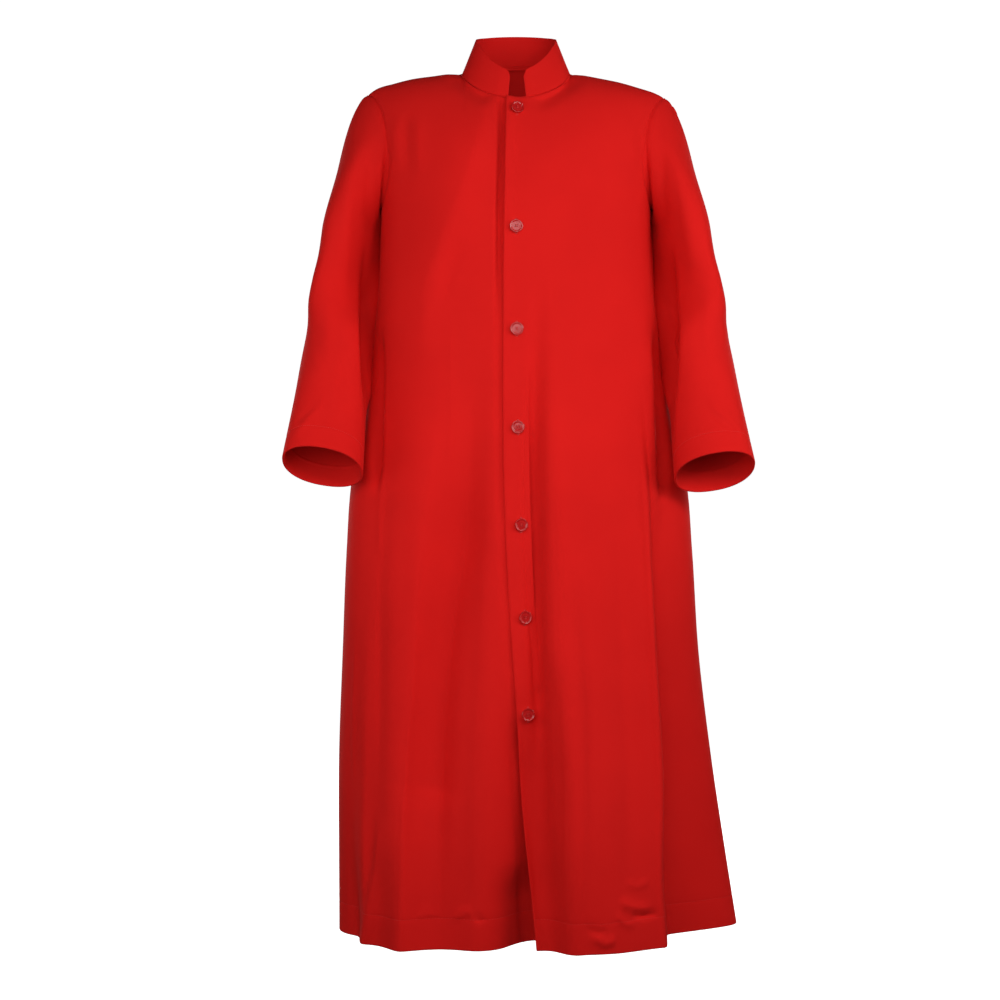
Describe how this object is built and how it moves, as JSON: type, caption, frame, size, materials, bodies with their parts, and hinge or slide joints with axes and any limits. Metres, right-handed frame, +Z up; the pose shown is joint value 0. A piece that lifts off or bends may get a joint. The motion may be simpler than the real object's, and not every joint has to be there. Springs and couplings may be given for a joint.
{
  "type": "cassock",
  "caption": "Full-length buttoned cassock with a stand collar and long set-in sleeves, hollow and filled out as if worn.",
  "frame": {"origin": "middle of the neck, level with the inner ends of the shoulder seams, where the wearer's shoulders hold the garment", "axes": "+Z up, -Y to the front of the garment, -X to the wearer's right"},
  "size_m": [0.725, 0.3671, 1.4343],
  "materials": {
    "twill": "matte red cotton-rich twill with a faint sheen",
    "button_plastic": "glossy moulded red plastic"
  },
  "bodies": {
    "root": {"right_front": "twill", "left_front": "twill", "back": "twill", "sleeve_right": "twill", "sleeve_left": "twill", "collar": "twill", "button_1": "button_plastic", "button_2": "button_plastic", "button_3": "button_plastic", "button_4": "button_plastic", "button_5": "button_plastic", "button_6": "button_plastic", "button_7": "button_plastic"}
  },
  "joints": []
}
